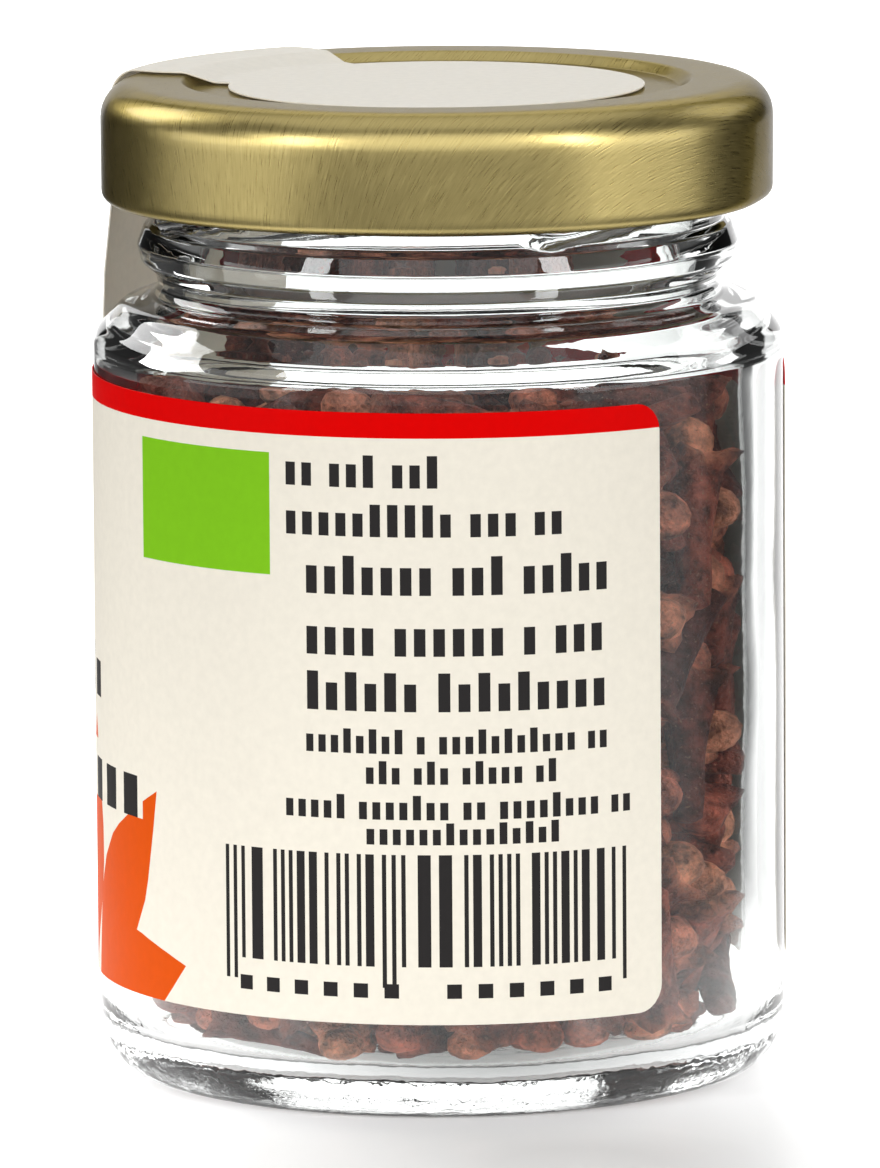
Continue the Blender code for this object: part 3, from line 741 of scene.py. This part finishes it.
for ink, code in (("paper", LABEL_STOCK), ("red", "#D80000"), ("green", "#7CBE1E"), ("ink", PRINT_INK),
                  ("orange", "#D65008"), ("blocks", LABEL_STOCK), ("back", "#DAD6CC")):
    label.data.materials.append(paper_material(f"label_{ink}", code, 0.45))
# The blocks: one to each letter's width, some taller than others, printed in ink on the bare paper.
tree = label.data.materials[inks.index("blocks")].node_tree
shader = tree.nodes["Principled BSDF"]
place_in = add(tree, "ShaderNodeUVMap", uv_map="flat")
split = add(tree, "ShaderNodeSeparateXYZ", {"Vector": place_in.outputs[0]})
letter = add(tree, "ShaderNodeMath", {0: split.outputs["X"]}, operation="FLOOR")
chance = add(tree, "ShaderNodeTexWhiteNoise", {"W": letter.outputs[0]}, noise_dimensions="1D")
across = add(tree, "ShaderNodeMath", {0: split.outputs["X"]}, operation="FRACT")
off_middle = add(tree, "ShaderNodeMath", {0: across.outputs[0], 1: 0.5}, operation="SUBTRACT")
aside = add(tree, "ShaderNodeMath", {0: off_middle.outputs[0]}, operation="ABSOLUTE")
narrow = add(tree, "ShaderNodeMath", {0: aside.outputs[0], 1: 0.3}, operation="LESS_THAN")
tall = add(tree, "ShaderNodeMath", {0: chance.outputs["Value"], 1: 0.68}, operation="GREATER_THAN")
top = add(tree, "ShaderNodeMapRange", {"Value": tall.outputs[0], "To Min": 0.7, "To Max": 0.98})
below = add(tree, "ShaderNodeMath", {0: split.outputs["Y"], 1: top.outputs[0]}, operation="LESS_THAN")
printed = add(tree, "ShaderNodeMath", {0: narrow.outputs[0], 1: below.outputs[0]}, operation="MULTIPLY")
bare = shader.inputs["Base Color"].links[0].from_socket
inked = add(tree, "ShaderNodeMix", {"Factor": printed.outputs[0], 6: bare, 7: linear(PRINT_INK)},
            data_type="RGBA")
tree.links.new(inked.outputs[2], shader.inputs["Base Color"])
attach(label, "root")
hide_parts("label")

# The seal: uncoated cream paper, a round head on the lid's panel and a tail that bridges the step,
# bends over the edge, hangs clear of the neck and is stuck down over the label behind.

SEAL_TURN = math.radians(143.0)
SEAL_HEAD = 15.9
SEAL_LIFT = 0.15
SEAL_PAPER = 0.12
SEAL_ROOT = 15.6
SEAL_TAIL = 19.6
GLUED = 26.8
SEAL_COLUMNS = 16
RIM_STEPS = 72

route = filleted(
    [
        (SEAL_HEAD, LID_PANEL + SEAL_LIFT, 0),
        (17.2, LID_PANEL + SEAL_LIFT, 2.0),
        (19.6, LID_TOP + SEAL_LIFT, 2.0),
        (LID + SEAL_LIFT, LID_TOP + SEAL_LIFT, 2.25),
        (LID + SEAL_LIFT, 66.5, 5.0),
        (26.6, 60.5, 8.0),
        (GLUED, 56.0, 6.0),
        (GLUED, 45.5, 0),
    ],
    8,
)
route = dense(route, 1.0)
outward = Vector((math.cos(SEAL_TURN), math.sin(SEAL_TURN), 0.0))
sideways = Vector((-math.sin(SEAL_TURN), math.cos(SEAL_TURN), 0.0))
strip = bmesh.new()
rows = []
for station, (r, z) in enumerate(route):
    half = (SEAL_ROOT + (SEAL_TAIL - SEAL_ROOT) * min(1.0, max(0.0, (r - SEAL_HEAD) / 6.0))) / 2
    if station > len(route) // 2:
        half = SEAL_TAIL / 2
    row = []
    for k in range(SEAL_COLUMNS + 1):
        offset = half * (2 * k / SEAL_COLUMNS - 1.0)
        spot = outward * math.sqrt(r * r - offset * offset) + sideways * offset
        row.append(strip.verts.new(Vector((spot.x, spot.y, z)) * MM))
    rows.append(row)
for near_row, far_row in zip(rows, rows[1:]):
    for k in range(SEAL_COLUMNS):
        strip.faces.new((near_row[k], far_row[k], far_row[k + 1], near_row[k + 1]))
half_root = math.asin(SEAL_ROOT / 2 / SEAL_HEAD)
rim = []
for k in range(1, RIM_STEPS):
    turn = SEAL_TURN + half_root + (2 * math.pi - 2 * half_root) * k / RIM_STEPS
    spot = Vector((SEAL_HEAD * math.cos(turn), SEAL_HEAD * math.sin(turn), LID_PANEL + SEAL_LIFT))
    rim.append(strip.verts.new(spot * MM))
strip.faces.new(rows[0] + rim)
bmesh.ops.recalc_face_normals(strip, faces=strip.faces)
for face in strip.faces:
    face.smooth = True
mesh = bpy.data.meshes.new("paper_seal")
strip.to_mesh(mesh)
strip.free()
seal = bpy.data.objects.new("paper_seal", mesh)
bpy.context.scene.collection.objects.link(seal)
thick = seal.modifiers.new("paper", "SOLIDIFY")
thick.thickness = SEAL_PAPER * MM
thick.offset = 1.0
made_plain(seal)
seal.data.set_sharp_from_angle(angle=CREASE)
seal_stock = paper_material("seal_paper", "#E6DDCD", 0.6)
seal_shader = seal_stock.node_tree.nodes["Principled BSDF"]
seal_shader.inputs["Subsurface Weight"].default_value = 0.6
seal_shader.inputs["Subsurface Radius"].default_value = (1.0, 0.9, 0.8)
seal_shader.inputs["Subsurface Scale"].default_value = 0.0008
seal.data.materials.append(seal_stock)
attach(seal, "root")
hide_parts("seal")

# The set: a white sweep in a dim room and a long lens. A wide soft box lights it from the front and one
# from above, with a small box and a low panel at each side, and two more boxes behind.

SWEEP_SIDE = 3.0
SWEEP_FLAT = 0.9
SWEEP_BEND = 0.5
SWEEP_TOP = 1.6
LANE_EDGE = 0.055

sweep = [(-3.0, 0.0), (-1.0, 0.0), (0.0, 0.0), (SWEEP_FLAT, 0.0)]
for degrees in range(15, 91, 15):
    turn = math.radians(degrees)
    sweep.append((SWEEP_FLAT + SWEEP_BEND * math.sin(turn), SWEEP_BEND - SWEEP_BEND * math.cos(turn)))
sweep.append((SWEEP_FLAT + SWEEP_BEND, SWEEP_TOP))
floor_mesh = bpy.data.meshes.new("floor")
floor_mesh.from_pydata([(x, y, z) for y, z in sweep for x in (-SWEEP_SIDE, SWEEP_SIDE)], [],
                       [(2 * k, 2 * k + 1, 2 * k + 3, 2 * k + 2) for k in range(len(sweep) - 1)])
floor_mesh.shade_smooth()
floor = bpy.data.objects.new("floor", floor_mesh)
bpy.context.scene.collection.objects.link(floor)
# White paper. It glows in a lane that widens behind the jar, more so high up, and fades out round a spot just
# in front of the jar's foot and to its right: painted shadow, laid over the real one. On both sides it is
# dark, for the lid and the glass to mirror.
white, tree, shader = finish_material("white_sweep", {
    "Roughness": 0.35, "Specular IOR Level": 0.3, "Emission Color": (1.0, 1.0, 1.0, 1.0)})
coords = add(tree, "ShaderNodeTexCoord")
axes_of = add(tree, "ShaderNodeSeparateXYZ", {"Vector": coords.outputs["Object"]})
ahead = add(tree, "ShaderNodeMath", {0: axes_of.outputs["Y"], 1: 0.005}, operation="ADD")
before = add(tree, "ShaderNodeMath", {0: ahead.outputs[0], 1: 0.0}, operation="MINIMUM")
left_edge = add(tree, "ShaderNodeMapRange", {
    "Value": axes_of.outputs["Y"], "From Min": 0.45, "From Max": 1.4, "To Min": 0.0, "To Max": 0.42})
right_edge = add(tree, "ShaderNodeMapRange", {
    "Value": axes_of.outputs["Y"], "From Min": 0.06, "From Max": 0.7, "To Min": 0.0, "To Max": 0.5})
rightward = add(tree, "ShaderNodeMath", {0: axes_of.outputs["X"], 1: 0.0}, operation="GREATER_THAN")
behind = add(tree, "ShaderNodeMix", {
    0: rightward.outputs[0], 2: left_edge.outputs[0], 3: right_edge.outputs[0]})
spot = add(tree, "ShaderNodeCombineXYZ", {"X": axes_of.outputs["X"], "Y": before.outputs[0]})
reach = add(tree, "ShaderNodeVectorMath", {0: spot.outputs[0]}, operation="LENGTH")
past = add(tree, "ShaderNodeMath", {0: reach.outputs["Value"], 1: behind.outputs[0]}, operation="SUBTRACT")
lane = add(tree, "ShaderNodeMapRange", {"Value": past.outputs[0], "From Min": LANE_EDGE, "From Max": 0.1,
                                        "To Min": 1.0, "To Max": 0.0}, interpolation_type="SMOOTHSTEP")
# Painted shadow: round a spot in front of the jar and a little to its right the glow is held back, so the
# floor there is darker than the lamps' shadow alone makes it.
flat_spot = add(tree, "ShaderNodeCombineXYZ", {"X": axes_of.outputs["X"], "Y": axes_of.outputs["Y"]})
from_painted_shadow = add(tree, "ShaderNodeVectorMath", {0: flat_spot.outputs[0], 1: (0.01, -0.042, 0.0)},
           operation="DISTANCE")
lift = add(tree, "ShaderNodeMapRange", {"Value": from_painted_shadow.outputs["Value"], "From Min": 0.006, "From Max": 0.055,
                                        "To Min": 0.0, "To Max": 0.7})
high = add(tree, "ShaderNodeMapRange", {"Value": axes_of.outputs["Z"], "From Min": 0.3, "From Max": 0.6,
                                        "To Min": 0.0, "To Max": 0.6})
strength = add(tree, "ShaderNodeMath", {0: lift.outputs[0], 1: high.outputs[0]}, operation="ADD")
glow = add(tree, "ShaderNodeMath", {0: strength.outputs[0], 1: lane.outputs[0]}, operation="MULTIPLY")
tone = add(tree, "ShaderNodeMapRange", {"Value": past.outputs[0], "From Min": LANE_EDGE, "From Max": 0.13,
                                        "To Min": 0.85, "To Max": 0.05}, interpolation_type="SMOOTHSTEP")
sideways_by = add(tree, "ShaderNodeMath", {0: axes_of.outputs["X"]}, operation="ABSOLUTE")
front_tone = add(tree, "ShaderNodeMapRange", {
    "Value": sideways_by.outputs[0], "From Min": 0.12, "From Max": 0.4, "To Min": 0.25, "To Max": 0.05},
    interpolation_type="SMOOTHSTEP")
in_front = add(tree, "ShaderNodeMath", {0: axes_of.outputs["Y"], 1: 0.0}, operation="LESS_THAN")
front_part = add(tree, "ShaderNodeMath", {0: front_tone.outputs[0], 1: in_front.outputs[0]},
                 operation="MULTIPLY")
whole_tone = add(tree, "ShaderNodeMath", {0: tone.outputs[0], 1: front_part.outputs[0]}, operation="MAXIMUM")
tree.links.new(glow.outputs[0], shader.inputs["Emission Strength"])
tree.links.new(whole_tone.outputs[0], shader.inputs["Base Color"])
floor.data.materials.append(white)

world = bpy.data.worlds.new("studio")
world.use_nodes = True
world.node_tree.nodes["Background"].inputs["Color"].default_value = (1.0, 1.0, 1.0, 1.0)
world.node_tree.nodes["Background"].inputs["Strength"].default_value = 0.1
bpy.context.scene.world = world


def soft_box(name, at, toward, width, height, power):
    """A rectangular soft light that faces a point."""
    lamp = bpy.data.lights.new(name, "AREA")
    lamp.shape = "RECTANGLE"
    lamp.size = width
    lamp.size_y = height
    lamp.energy = power
    made = bpy.data.objects.new(name, lamp)
    made.location = at
    made.rotation_euler = (Vector(toward) - Vector(at)).to_track_quat("-Z", "Y").to_euler()
    bpy.context.scene.collection.objects.link(made)


soft_box("soft_left", (-0.72, -0.60, 0.42), (0, 0, 0.04), 0.18, 0.4, 2.7)
soft_box("soft_right", (0.70, -0.62, 0.42), (0, 0, 0.04), 0.18, 0.4, 2.7)
soft_box("panel_left", (-0.85, -0.22, 0.15), (0, 0, 0.04), 0.85, 0.28, 1.5)
soft_box("panel_right", (0.85, -0.25, 0.15), (0, 0, 0.04), 0.85, 0.28, 1.6)
soft_box("soft_top", (0.0, 0.1, 0.9), (0, 0, 0.0), 1.1, 0.9, 2.4)
soft_box("soft_front", (0.0, -1.5, 0.85), (0, 0, 0.04), 2.4, 1.5, 17.0)
soft_box("soft_back_left", (-0.75, 0.65, 0.6), (0, 0, 0.05), 0.5, 0.5, 3.6)
soft_box("soft_back_right", (0.75, 0.65, 0.6), (0, 0, 0.05), 0.5, 0.5, 1.1)

camera = bpy.data.cameras.new("camera")
camera.sensor_width = 36.0
camera.lens = 375.4
camera.clip_start = 0.05
view = bpy.data.objects.new("camera", camera)
view.location = (0.0, -0.9252, 0.1791)
upright = Matrix.Rotation(math.radians(90.0 - 8.73), 3, "X")
view.rotation_euler = (upright @ Matrix.Rotation(math.radians(-0.4), 3, "Z")).to_euler()
bpy.context.scene.collection.objects.link(view)
bpy.context.scene.camera = view
bpy.context.scene.view_settings.view_transform = "Standard"
